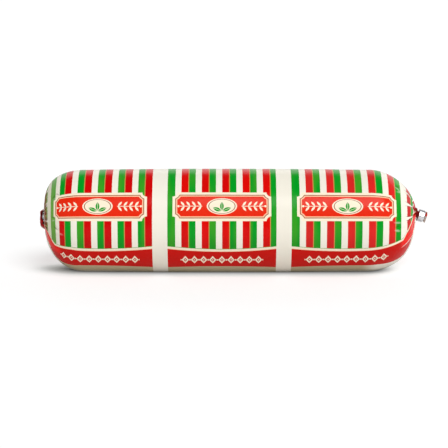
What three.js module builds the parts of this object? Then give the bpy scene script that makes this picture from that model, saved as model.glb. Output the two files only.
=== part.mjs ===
// A log of mozzarella in a tube of printed plastic film, lying on its side. The film is drawn tight
// over the cheese, gathered into pleats at both ends and closed there by an aluminium clip, past
// which a short crumpled tail of film stands out. The log has sagged a little on to a flat base.
//
// Millimetres. X runs along the log to the right, -Y faces the front, +Z is up, and the origin is on
// the resting surface at the middle of the whole length.
import * as THREE from "three";

// ---- the filled tube -------------------------------------------------------------------------
const HALF_WIDTH = 48.2; // half the log's width across Y
const HALF_HEIGHT = 47.5; // half its height, before the base is flattened
const AXIS_HEIGHT = 44.6; // its axis above the surface, so it sags by the difference
const BASE_BLEND = 0.8; // height over which the round side runs into the flat base
const BELLY = 0.02; // share of the radius by which the tube is slimmer at its ends than mid way
const ROUND = 72; // facets round the log
const CAP_STATIONS = 13; // rings along each rounded end
const BARREL_STATIONS = 8; // steps along the straight part

// ---- film gathered at the ends ---------------------------------------------------------------
const NECK_RADIUS = 2.8; // the gathered film, pressed together by its clip
const ROOT_RADIUS = 6; // where the pleated end turns into the neck
const DIMPLE_RADIUS = 19; // out to here the neck draws the end in, or pulls it out
const PLEATED_SHARE = 0.62; // pleats start where an end is this share of the full radius
const PLEAT_DEPTH = 0.3; // share of the radius that the folds cut in, at the root
const FOLD_DEPTH = 1.6; // that the folds cut in along X, at the root

// ---- the clips -------------------------------------------------------------------------------
const CLIP_WIDTH = 5.8; // along the neck
const CLIP_THICKNESS = 2.2; // of the aluminium, measured out from the neck
const CLIP_GAP = 0.3; // left between the clip and the film on all sides
const CLIP_LEG = 2.2; // straight leg below the clip's round back
const CLIP_CORNER = 2; // radius of the corner, on the middle of the metal, where a leg turns in
const CLIP_SLIT = 0.7; // between the ends of the two legs
const CLIP_ROUNDING = 0.7; // on the four edges of the metal
const CLIP_REACH = 6.2; // no part of the clip is further than this from the middle of the neck

// Each end of the log. Angles run from the top towards the front. The rounded end is a superellipse,
// whose depth along X and bluntness are given at its top and at its bottom: a bluntness of 2 is a
// plain ellipse, and more is squarer.
const LEFT = {
  name: "left",
  side: -1, // direction along X
  pole: -172.1, // where the rounded end would meet the axis
  top: { depth: 36, bluntness: 4.3 },
  bottom: { depth: 38, bluntness: 2.4 },
  neckRise: 2.2, // of the neck above the log's axis
  dimple: 5, // how far inside the pole the neck is rooted
  tilt: 0, // of the neck, clip and tail, downwards
  pleats: 13,
  pleatPhase: 0.4,
  neckLength: 1.6, // from the root to the clip
  clipTurn: 0.35, // about the neck
  tailLength: 1.2,
  tailRadius: 4.8,
  tailLobe: 6.4, // extra reach of the tail's longer lobe
  shortLobe: 0.34, // the lobe across from it, as a share
  lobeAngle: 2.4, // where the longer lobe points
  lobeReturn: 4.8, // how far the lobes curl back over the clip
};
const RIGHT = {
  name: "right",
  side: 1,
  pole: 164.5,
  top: { depth: 42, bluntness: 2.05 },
  bottom: { depth: 49, bluntness: 3 },
  neckRise: 6.7,
  dimple: -0.7,
  tilt: 0.3,
  pleats: 14,
  pleatPhase: -0.21,
  neckLength: 2.3,
  clipTurn: -0.6,
  tailLength: 2.0,
  tailRadius: 3.8,
  tailLobe: 2.4,
  shortLobe: 0.4,
  lobeAngle: 2.4,
  lobeReturn: 0,
};

const clamp01 = (value) => Math.min(1, Math.max(0, value));
const smooth = (value) => clamp01(value) ** 2 * (3 - 2 * clamp01(value));

// Places along an end, measured out along X before the neck is tilted about its root.
const rootX = (end) => end.pole - end.side * end.dimple;
const clipStart = (end) => rootX(end) + end.side * end.neckLength;
const clipEnd = (end) => clipStart(end) + end.side * (CLIP_WIDTH + 2 * CLIP_GAP);
const tailEnd = (end) => clipEnd(end) + end.side * end.tailLength;

// The larger of two heights, with a rounded change from one to the other.
function smoothMax(a, b, blend) {
  const share = Math.max(blend - Math.abs(a - b), 0) / blend;
  return Math.max(a, b) + (share * share * blend) / 4;
}

// Rings from the middle of the tail's outer face, over its lobes and along the neck.
function tailStations(end) {
  const outer = tailEnd(end);
  const inner = clipEnd(end);
  const start = clipStart(end);
  const ring = (x, radius, kind) => ({ x, radius, end, kind });
  return [
    ring(outer - end.side * 0.6, 0, "tail"),
    ring(outer - end.side * 0.2, end.tailRadius * 0.4, "tail"),
    ring(outer, end.tailRadius * 0.75, "tail"),
    ring(outer - end.side * 0.5, end.tailRadius, "tail"),
    ring((outer + inner) / 2, end.tailRadius * 0.92, "tail"),
    ring(inner + end.side * 0.3, NECK_RADIUS * 1.3, "tail"),
    ring(inner, NECK_RADIUS, "neck"),
    ring((inner + start) / 2, NECK_RADIUS * 0.94, "neck"),
    ring(start, NECK_RADIUS, "neck"),
    ring((start + rootX(end)) / 2, NECK_RADIUS * 1.3, "neck"),
  ];
}

// The form of a rounded end at a height: 1 is its top and 0 its bottom.
function capForm(end, height) {
  const between = (a, b) => b + (a - b) * height;
  return {
    depth: between(end.top.depth, end.bottom.depth),
    bluntness: between(end.top.bluntness, end.bottom.bluntness),
  };
}

// How far in from the pole a rounded end is at an angle, where its ring has this radius.
function capInset(end, radius, angle) {
  const { depth, bluntness } = capForm(end, (1 + Math.cos(angle)) / 2);
  const round = Math.max(0, 1 - (radius / HALF_HEIGHT) ** bluntness);
  const drawn = 1 - smooth((radius - ROOT_RADIUS) / (DIMPLE_RADIUS - ROOT_RADIUS));
  const fold = FOLD_DEPTH * (1 - pleat(angle, end)) * gathering(radius);
  return depth * (1 - Math.sqrt(round)) + end.dimple * drawn + fold;
}

// Rings from the root of an end's neck out to the barrel.
function capStations(end) {
  const power = 2 / capForm(end, 0.5).bluntness;
  const rootTurn = Math.asin((ROOT_RADIUS / HALF_HEIGHT) ** (1 / power));
  const stations = [];
  for (let i = 0; i <= CAP_STATIONS; i++) {
    const turn = rootTurn + ((Math.PI / 2 - rootTurn) * i) / CAP_STATIONS;
    const radius = i === CAP_STATIONS ? HALF_HEIGHT : HALF_HEIGHT * Math.sin(turn) ** power;
    stations.push({ x: end.pole, radius, end, kind: "cap" });
  }
  return stations;
}

// Rings along the nearly straight barrel, between the two rounded ends.
function barrelStations() {
  const from = LEFT.pole + LEFT.bottom.depth;
  const to = RIGHT.pole - RIGHT.bottom.depth;
  const stations = [];
  for (let i = 1; i < BARREL_STATIONS; i++) {
    const along = i / BARREL_STATIONS;
    stations.push({ x: from + (to - from) * along, radius: HALF_HEIGHT, kind: "barrel", along });
  }
  return stations;
}

// How strongly the film is pleated where a rounded end has this radius: 1 at the root, 0 far out.
function gathering(radius) {
  return smooth(1 - radius / HALF_HEIGHT / PLEATED_SHARE);
}

// How far the film stands up at an angle: 1 on the crown of a pleat, 0 in the fold between two.
function pleat(angle, end) {
  const wandering = 0.22 * Math.sin(2 * angle + end.pleatPhase) + 0.12 * Math.sin(5 * angle);
  return Math.abs(Math.sin((end.pleats * angle) / 2 + end.pleatPhase + wandering));
}

// The tail's outline: a long lobe at lobeAngle, a short one across from it, and small crumples.
function lobes(angle, end) {
  const turned = angle - end.lobeAngle;
  const long = Math.max(0, Math.cos(turned)) ** 2;
  const short = end.shortLobe * Math.max(0, -Math.cos(turned)) ** 2;
  return long + short + 0.16 * Math.cos(5 * turned);
}

// How far a point of a ring is from the ring's middle, and how far it is moved along X.
function reachOf({ radius, end, kind, along }, angle) {
  if (kind === "barrel") return { reach: radius * (1 - BELLY * (2 * along - 1) ** 2), shift: 0 };
  const fold = 1 - pleat(angle, end);
  if (kind === "neck") return { reach: radius * (1 - 0.12 * fold), shift: 0 };
  if (kind === "cap") {
    return { reach: radius * (1 - BELLY) * (1 - PLEAT_DEPTH * gathering(radius) * fold), shift: 0 };
  }
  const spread = clamp01((radius - NECK_RADIUS) / (end.tailRadius - NECK_RADIUS));
  const reach = radius * (1 - 0.22 * fold) + end.tailLobe * lobes(angle, end) * spread;
  return { reach, shift: -end.side * end.lobeReturn * smooth((reach - CLIP_REACH) / 2.5) };
}

// One point of the film: oval and sagged along the barrel, rounded and pleated at the ends, with
// each neck and tail turned down about its root.
function filmPoint(station, angle) {
  const { x, radius, end, kind } = station;
  const { reach, shift } = reachOf(station, angle);
  const share = radius / HALF_HEIGHT;
  const oval = 1 + (HALF_WIDTH / HALF_HEIGHT - 1) * smooth(share);
  const point = new THREE.Vector3(x + shift, -reach * oval * Math.sin(angle), reach * Math.cos(angle));
  if (kind === "cap") {
    point.x -= end.side * capInset(end, radius, angle);
  } else if (end) {
    point.x -= rootX(end);
    point.applyAxisAngle(new THREE.Vector3(0, 1, 0), end.side * end.tilt);
    point.x += rootX(end);
  }
  const rise = end ? end.neckRise * (1 - smooth(share)) : 0;
  point.z = smoothMax(AXIS_HEIGHT + rise + point.z, 0, BASE_BLEND);
  return point;
}

// The cheese in its film, with the gathered necks and tails, as one solid. It starts as a turned
// form whose rings are then moved point by point.
function filmGeometry() {
  const stations = [
    ...tailStations(LEFT),
    ...capStations(LEFT),
    ...barrelStations(),
    ...capStations(RIGHT).reverse(),
    ...tailStations(RIGHT).reverse(),
  ];
  const profile = stations.map(({ x, radius }) => new THREE.Vector2(radius, x));
  const geometry = new THREE.LatheGeometry(profile, ROUND);
  const position = geometry.getAttribute("position");
  const along = geometry.getAttribute("uv");
  for (let i = 0; i < position.count; i++) {
    const station = stations[Math.round(along.getY(i) * (stations.length - 1))];
    const point = filmPoint(station, Math.atan2(position.getX(i), position.getZ(i)));
    position.setXYZ(i, point.x, point.y, point.z);
  }
  return geometry;
}

// The middle line of a clip's metal, in the plane across the neck: a round back, two straight legs,
// and their ends turned in until they almost meet.
function clipLine() {
  const half = NECK_RADIUS + CLIP_GAP + CLIP_THICKNESS / 2;
  const cornerY = half - CLIP_CORNER;
  const foot = -CLIP_LEG - CLIP_CORNER;
  const points = [new THREE.Vector3(0, CLIP_SLIT / 2, foot)];
  const arc = (centreY, centreZ, radius, from, to, steps) => {
    for (let i = 0; i <= steps; i++) {
      const turn = from + ((to - from) * i) / steps;
      const y = centreY + radius * Math.cos(turn);
      points.push(new THREE.Vector3(0, y, centreZ + radius * Math.sin(turn)));
    }
  };
  arc(cornerY, -CLIP_LEG, CLIP_CORNER, -Math.PI / 2, 0, 4);
  arc(0, 0, half, 0, Math.PI, 12);
  arc(-cornerY, -CLIP_LEG, CLIP_CORNER, Math.PI, 1.5 * Math.PI, 4);
  points.push(new THREE.Vector3(0, -CLIP_SLIT / 2, foot));
  return new THREE.CatmullRomCurve3(points, false, "centripetal");
}

// The metal's section: a rounded bar, CLIP_WIDTH along the neck and CLIP_THICKNESS out from it.
function clipSection() {
  const x = CLIP_WIDTH / 2;
  const y = CLIP_THICKNESS / 2;
  const r = CLIP_ROUNDING;
  const section = new THREE.Shape();
  section.moveTo(-x + r, -y);
  section.lineTo(x - r, -y);
  section.quadraticCurveTo(x, -y, x, -y + r);
  section.lineTo(x, y - r);
  section.quadraticCurveTo(x, y, x - r, y);
  section.lineTo(-x + r, y);
  section.quadraticCurveTo(-x, y, -x, y - r);
  section.lineTo(-x, -y + r);
  section.quadraticCurveTo(-x, -y, -x + r, -y);
  return section;
}

// The clip of an end, in a group at the neck's root that carries the neck's tilt.
function clipOn(end) {
  const settings = { steps: 36, extrudePath: clipLine(), curveSegments: 2 };
  const clip = new THREE.Mesh(new THREE.ExtrudeGeometry(clipSection(), settings), aluminium);
  clip.name = `clip_${end.name}`;
  clip.position.x = (clipStart(end) + clipEnd(end)) / 2 - rootX(end);
  clip.rotation.x = end.clipTurn;
  const neck = new THREE.Group();
  neck.position.set(rootX(end), 0, AXIS_HEIGHT + end.neckRise);
  neck.rotation.y = end.side * end.tilt;
  neck.add(clip);
  return neck;
}

const printedFilm = new THREE.MeshStandardMaterial({ color: 0xe3261a, roughness: 0.3, metalness: 0 });
const aluminium = new THREE.MeshStandardMaterial({ color: 0xc9ccd0, roughness: 0.32, metalness: 1 });

const log = new THREE.Mesh(filmGeometry(), printedFilm);
log.name = "film_log";

const mozzarella = new THREE.Group();
mozzarella.add(log, clipOn(LEFT), clipOn(RIGHT));

export default mozzarella;
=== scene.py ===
"""Looks of a log of mozzarella in printed plastic film, shut by an aluminium clip at both ends.

Sizes are in millimetres, and meshes are made in metres. X runs along the log, -Y faces the camera
and +Z is up. Angles round the log run from its top towards its front.
"""

import logging
import math
from dataclasses import dataclass, field
from enum import Enum

import bpy
import numpy as np
from mathutils import Matrix, Vector


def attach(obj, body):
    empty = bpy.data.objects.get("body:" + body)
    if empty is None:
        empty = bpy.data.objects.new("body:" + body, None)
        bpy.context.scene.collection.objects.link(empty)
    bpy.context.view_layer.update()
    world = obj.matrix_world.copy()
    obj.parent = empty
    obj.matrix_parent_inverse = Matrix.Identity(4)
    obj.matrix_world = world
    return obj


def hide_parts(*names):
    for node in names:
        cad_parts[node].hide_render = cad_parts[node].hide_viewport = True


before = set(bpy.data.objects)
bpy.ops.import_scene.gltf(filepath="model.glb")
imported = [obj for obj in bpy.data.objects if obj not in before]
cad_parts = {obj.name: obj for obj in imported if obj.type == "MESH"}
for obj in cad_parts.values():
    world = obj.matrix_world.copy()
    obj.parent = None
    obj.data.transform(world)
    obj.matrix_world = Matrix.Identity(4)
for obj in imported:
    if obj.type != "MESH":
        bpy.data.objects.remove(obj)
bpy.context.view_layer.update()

LOG = logging.getLogger("mozzarella_log")
MM = 0.001  # metres in a millimetre
Colour = tuple[float, float, float, float]


# ---- small helpers ---------------------------------------------------------------------------


def ink(red: int, green: int, blue: int) -> Colour:
    """Turns a colour's display values, 0 to 255, into linear light.

    Args:
        red: display value of red.
        green: display value of green.
        blue: display value of blue.

    Returns:
        The colour in linear light, opaque.
    """
    shares = [value / 255 for value in (red, green, blue)]
    light = [s / 12.92 if s < 0.04045 else ((s + 0.055) / 1.055) ** 2.4 for s in shares]
    return (light[0], light[1], light[2], 1.0)


def clamp01(value: np.ndarray) -> np.ndarray:
    """Cuts values off below 0 and above 1."""
    return np.clip(value, 0.0, 1.0)


def smooth(value: np.ndarray) -> np.ndarray:
    """Eases values from 0 to 1, flat at both ends."""
    share = clamp01(value)
    return share**2 * (3 - 2 * share)


def smooth_max(a: np.ndarray, b: float, blend: float) -> np.ndarray:
    """Gives the larger of two heights, rounded where they differ by less than the blend."""
    share = np.maximum(blend - np.abs(a - b), 0) / blend
    return np.maximum(a, b) + share**2 * blend / 4


class Wire:
    """A value in a node tree, on which arithmetic makes Math nodes."""

    def __init__(self, tree: bpy.types.NodeTree, socket: bpy.types.NodeSocket) -> None:
        """Holds an output socket of a tree."""
        self.tree = tree
        self.socket = socket

    def math(self, operation: str, *others: "Wire | float") -> "Wire":
        """Makes a Math node of this value and others.

        Args:
            operation: the Math node's operation.
            others: its further inputs, wires or plain numbers.

        Returns:
            The node's result.
        """
        node = self.tree.nodes.new("ShaderNodeMath")
        node.operation = operation
        for entry, value in zip(node.inputs, (self, *others)):
            if isinstance(value, Wire):
                self.tree.links.new(value.socket, entry)
            else:
                entry.default_value = value
        return Wire(self.tree, node.outputs[0])

    def __add__(self, other: "Wire | float") -> "Wire":
        """Adds."""
        return self.math("ADD", other)

    def __sub__(self, other: "Wire | float") -> "Wire":
        """Subtracts."""
        return self.math("SUBTRACT", other)

    def __rsub__(self, other: float) -> "Wire":
        """Subtracts this value from a number."""
        return self.math("MULTIPLY", -1.0).math("ADD", other)

    def __mul__(self, other: "Wire | float") -> "Wire":
        """Multiplies."""
        return self.math("MULTIPLY", other)

    def __truediv__(self, other: "Wire | float") -> "Wire":
        """Divides."""
        return self.math("DIVIDE", other)

    def __neg__(self) -> "Wire":
        """Turns the sign."""
        return self.math("MULTIPLY", -1.0)

    def __abs__(self) -> "Wire":
        """Drops the sign."""
        return self.math("ABSOLUTE")

    def below(self, limit: "Wire | float") -> "Wire":
        """Gives 1 where the value is below a limit, or else 0."""
        return self.math("LESS_THAN", limit)

    def above(self, limit: "Wire | float") -> "Wire":
        """Gives 1 where the value is above a limit, or else 0."""
        return self.math("GREATER_THAN", limit)

    def larger(self, other: "Wire | float") -> "Wire":
        """Gives the larger of two values."""
        return self.math("MAXIMUM", other)

    def smaller(self, other: "Wire | float") -> "Wire":
        """Gives the smaller of two values."""
        return self.math("MINIMUM", other)

    def eased(self) -> "Wire":
        """Eases values from 0 to 1, flat at both ends."""
        share = self.larger(0.0).smaller(1.0)
        return share * share * (3.0 - share * 2.0)

    def ramp(self, start: float, length: float) -> "Wire":
        """Rises from 0 at a start to 1 a length further on, eased at both ends."""
        return ((self - start) / length).eased()

    def wrapped(self, period: float) -> "Wire":
        """Gives the place within a repeat, 0 up to the period."""
        return self.math("FLOORED_MODULO", period)

    def choose(self, low: "Wire", high: "Wire | float") -> "Wire":
        """Gives low where this value is 0, and high where it is 1."""
        return low + (high - low) * self


def reach(x: Wire, y: Wire) -> Wire:
    """Gives the distance of a point from the middle, from its two offsets."""
    return (x * x + y * y).math("SQRT")


def turned(x: Wire, y: Wire, degrees: float) -> tuple[Wire, Wire]:
    """Gives the places along a drawing's two axes after they turn, from x towards y."""
    cosine, sine = math.cos(math.radians(degrees)), math.sin(math.radians(degrees))
    return x * cosine + y * sine, y * cosine - x * sine


def split(tree: bpy.types.NodeTree, vector: bpy.types.NodeSocket) -> tuple[Wire, ...]:
    """Splits a vector into its three parts.

    Args:
        tree: the node tree.
        vector: the socket that puts it out.

    Returns:
        The X, Y and Z part.
    """
    node = tree.nodes.new("ShaderNodeSeparateXYZ")
    tree.links.new(vector, node.inputs[0])
    return tuple(Wire(tree, part) for part in node.outputs)


def joined(x: Wire, y: Wire) -> bpy.types.NodeSocket:
    """Joins two values to a vector.

    Args:
        x: its X part.
        y: its Y part.

    Returns:
        The socket that puts it out.
    """
    node = x.tree.nodes.new("ShaderNodeCombineXYZ")
    x.tree.links.new(x.socket, node.inputs["X"])
    x.tree.links.new(y.socket, node.inputs["Y"])
    return node.outputs[0]


def scaled(
    tree: bpy.types.NodeTree, vector: bpy.types.NodeSocket, factor: Wire
) -> bpy.types.NodeSocket:
    """Multiplies a vector by a value.

    Args:
        tree: the node tree.
        vector: the socket that puts the vector out.
        factor: the value.

    Returns:
        The socket that puts out the result.
    """
    node = tree.nodes.new("ShaderNodeVectorMath")
    node.operation = "SCALE"
    tree.links.new(vector, node.inputs[0])
    tree.links.new(factor.socket, node.inputs["Scale"])
    return node.outputs[0]


def noise_at(along: Wire, around: Wire, detail: float) -> Wire:
    """Makes noise of size 1 at a place in the print.

    Args:
        along: place along the print, over the noise's length.
        around: place round it, over the noise's width.
        detail: how many finer noises are added.

    Returns:
        The noise, 0 to 1.
    """
    tree = along.tree
    noise = tree.nodes.new("ShaderNodeTexNoise")
    noise.inputs["Scale"].default_value = 1.0
    noise.inputs["Detail"].default_value = detail
    tree.links.new(joined(along, around), noise.inputs["Vector"])
    return Wire(tree, noise.outputs[0])


def in_leaf(out: Wire, side: Wire, leaf: tuple[float, float]) -> Wire:
    """How far a point is inside a pointed leaf.

    Args:
        out: place along the leaf, from its middle.
        side: place across it, from its middle.
        leaf: half the leaf's length and half its width.

    Returns:
        The distance from the edge, measured across the leaf and above 0 inside.
    """
    half_length, half_width = leaf
    bend = out / half_length
    return (1.0 - bend * bend) * half_width - abs(side)


def input_id(tree: bpy.types.NodeTree, name: str) -> str:
    """Finds a node tree's input by its name.

    Args:
        tree: the node tree.
        name: the input's name.

    Returns:
        The input's identifier.
    """
    for item in tree.interface.items_tree:
        if item.item_type == "SOCKET" and item.in_out == "INPUT" and item.name == name:
            return item.identifier
    raise KeyError(name)


def dress_with_nodes(piece: bpy.types.Object, tree: bpy.types.NodeTree, values: dict) -> None:
    """Runs a Geometry Nodes tree on a piece and keeps the result as the piece's plain mesh.

    Args:
        piece: the object, whose mesh the tree starts from.
        tree: the tree.
        values: what goes into the tree's named inputs.
    """
    modifier = piece.modifiers.new(tree.name, "NODES")
    modifier.node_group = tree
    for name, value in values.items():
        modifier[input_id(tree, name)] = value
    depsgraph = bpy.context.evaluated_depsgraph_get()
    result = bpy.data.meshes.new_from_object(
        piece.evaluated_get(depsgraph), preserve_all_data_layers=True, depsgraph=depsgraph
    )
    result.name = piece.name
    piece.modifiers.clear()
    piece.data = result


def new_piece(name: str, mesh: bpy.types.Mesh) -> bpy.types.Object:
    """Makes an object of a mesh and links it into the scene.

    Args:
        name: the object's name.
        mesh: its mesh.

    Returns:
        The object.
    """
    piece = bpy.data.objects.new(name, mesh)
    bpy.context.scene.collection.objects.link(piece)
    return piece


def geometry_tree(name: str, inputs: dict[str, str]) -> bpy.types.NodeTree:
    """Starts a Geometry Nodes tree that takes a geometry, a material and some named inputs.

    Args:
        name: the tree's name.
        inputs: the kind of each further input, Float or Int, by its name.

    Returns:
        The tree, with its Group Input and Group Output nodes.
    """
    tree = bpy.data.node_groups.new(name, "GeometryNodeTree")
    kinds = {"Geometry": "Geometry", "Material": "Material"} | inputs
    for label, kind in kinds.items():
        tree.interface.new_socket(label, in_out="INPUT", socket_type=f"NodeSocket{kind}")
    tree.interface.new_socket("Geometry", in_out="OUTPUT", socket_type="NodeSocketGeometry")
    tree.nodes.new("NodeGroupInput")
    tree.nodes.new("NodeGroupOutput")
    return tree


def shader_group(
    name: str, inputs: dict[str, str], outputs: dict[str, str]
) -> tuple[bpy.types.NodeTree, bpy.types.NodeOutputs, bpy.types.NodeInputs]:
    """Starts a shader node group with named inputs and outputs.

    Args:
        name: the group's name.
        inputs: the kind of each input, Color, Float or Vector, by its name.
        outputs: the kind of each output, by its name.

    Returns:
        The group, what it is given, and where its results go.
    """
    tree = bpy.data.node_groups.new(name, "ShaderNodeTree")
    for in_out, kinds in (("INPUT", inputs), ("OUTPUT", outputs)):
        for label, kind in kinds.items():
            tree.interface.new_socket(label, in_out=in_out, socket_type=f"NodeSocket{kind}")
    given = tree.nodes.new("NodeGroupInput").outputs
    return tree, given, tree.nodes.new("NodeGroupOutput").inputs


def end_tree(tree: bpy.types.NodeTree, geometry: bpy.types.NodeSocket) -> None:
    """Ends a Geometry Nodes tree: instances made real, material set, result put out.

    Args:
        tree: the tree, as geometry_tree starts it.
        geometry: the socket that the finished geometry comes from.
    """
    real = tree.nodes.new("GeometryNodeRealizeInstances")
    finish = tree.nodes.new("GeometryNodeSetMaterial")
    tree.links.new(geometry, real.inputs["Geometry"])
    tree.links.new(real.outputs["Geometry"], finish.inputs["Geometry"])
    tree.links.new(tree.nodes["Group Input"].outputs["Material"], finish.inputs["Material"])
    tree.links.new(finish.outputs["Geometry"], tree.nodes["Group Output"].inputs["Geometry"])


# ---- the form of the log ---------------------------------------------------------------------


class Ring(Enum):
    """Where along the log a ring of the film lies."""

    TAIL = "tail"
    NECK = "neck"
    CAP = "cap"
    BARREL = "barrel"


@dataclass(frozen=True)
class CapForm:
    """The form of a rounded end, a superellipse of this depth along X. 2 is a plain ellipse."""

    depth: float
    bluntness: float


@dataclass(frozen=True)
class ClipSize:
    """The sizes that both clips share, in millimetres."""

    width: float = 5.8
    thickness: float = 2.2
    gap: float = 0.3
    leg: float = 2.2
    corner: float = 2
    slit: float = 0.7
    rounding: float = 0.7


CLIP = ClipSize()


@dataclass(frozen=True)
class LogEnd:
    """One end of the log, in millimetres and radians: rounded cap, neck, clip and tail.

    The side is -1 for the left end and 1 for the right one, and the dimple is how far in the neck's
    root lies from the cap's pole. The tail twist moves the print round the tail, and within the
    neck shade radius the film gets painted shade.
    """

    name: str
    side: int
    pole: float
    top: CapForm
    bottom: CapForm
    neck_rise: float
    dimple: float
    tilt: float
    pleats: int
    pleat_phase: float
    neck_length: float
    clip_turn: float
    tail_length: float
    tail_radius: float
    tail_lobe: float
    short_lobe: float
    lobe_angle: float
    lobe_return: float
    tail_twist: float
    neck_shade_radius: float
    # how far the pleats stray from an even spacing, as a slow and as a fast wave round the end
    wandering: tuple[float, float] = (0.22, 0.12)
    crumples: int = 5
    crumple_share: float = 0.16

    @property
    def root_x(self) -> float:
        """Where the neck is rooted."""
        return self.pole - self.side * self.dimple

    @property
    def clip_start(self) -> float:
        """Where the clip begins, with its gap."""
        return self.root_x + self.side * self.neck_length

    @property
    def clip_end(self) -> float:
        """Where the clip ends, with its gap."""
        return self.clip_start + self.side * (CLIP.width + 2 * CLIP.gap)

    @property
    def tail_end(self) -> float:
        """Where the tail ends."""
        return self.clip_end + self.side * self.tail_length

    def pleat_turn(self, angle: np.ndarray) -> np.ndarray:
        """Counts pleats round the end, each pi long, with their uneven widths.

        Args:
            angle: angles round the log.

        Returns:
            The count at each angle, a whole number of pi in a fold.
        """
        slow, fast = self.wandering
        wandering = slow * np.sin(2 * angle + self.pleat_phase) + fast * np.sin(5 * angle)
        return self.pleats * angle / 2 + self.pleat_phase + wandering

    def pleat(self, angle: np.ndarray) -> np.ndarray:
        """How far the film stands up: 1 on the crown of a pleat, 0 in the fold between two."""
        return np.abs(np.sin(self.pleat_turn(angle)))

    def lobes(self, angle: np.ndarray) -> np.ndarray:
        """The tail's outline: a long lobe, a short one across from it, and small crumples.

        Args:
            angle: angles round the tail.

        Returns:
            How far it stands out, 1 at the tip of the long lobe.
        """
        turn = angle - self.lobe_angle
        long = np.maximum(0, np.cos(turn)) ** 2
        short = self.short_lobe * np.maximum(0, -np.cos(turn)) ** 2
        return long + short + self.crumple_share * np.cos(self.crumples * turn)


LEFT = LogEnd(
    name="left",
    side=-1,
    pole=-172.1,
    top=CapForm(36, 4.3),
    bottom=CapForm(38, 2.4),
    neck_rise=2.2,
    dimple=5,
    tilt=0,
    pleats=13,
    pleat_phase=0.4,
    neck_length=1.6,
    clip_turn=0.35,
    tail_length=1.2,
    tail_radius=7.0,
    tail_lobe=6.2,
    short_lobe=0.42,
    lobe_angle=2.6,
    lobe_return=4.8,
    tail_twist=-60,
    neck_shade_radius=33,
)
RIGHT = LogEnd(
    name="right",
    side=1,
    pole=164.5,
    top=CapForm(42, 2.05),
    bottom=CapForm(49, 3),
    neck_rise=6.7,
    dimple=-0.7,
    tilt=0.3,
    pleats=14,
    pleat_phase=-0.21,
    neck_length=2.3,
    clip_turn=-0.6,
    tail_length=2.0,
    tail_radius=3.8,
    tail_lobe=2.4,
    short_lobe=0.4,
    lobe_angle=2.4,
    lobe_return=0,
    tail_twist=0,
    neck_shade_radius=10,
)


@dataclass(frozen=True)
class Station:
    """One ring of the film before it is moved: its place along X, its radius and its kind."""

    x: float
    radius: float
    kind: Ring
    end: LogEnd | None = None
    along: float = 0.0


@dataclass(frozen=True)
class Dent:
    """A long hollow in the film, or a ridge if its depth is negative.

    It has its place in the print, and its length and width are measured there, in millimetres. The
    turn is in degrees.
    """

    along: float
    around: float
    length: float
    width: float
    turn: float
    depth: float


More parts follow.
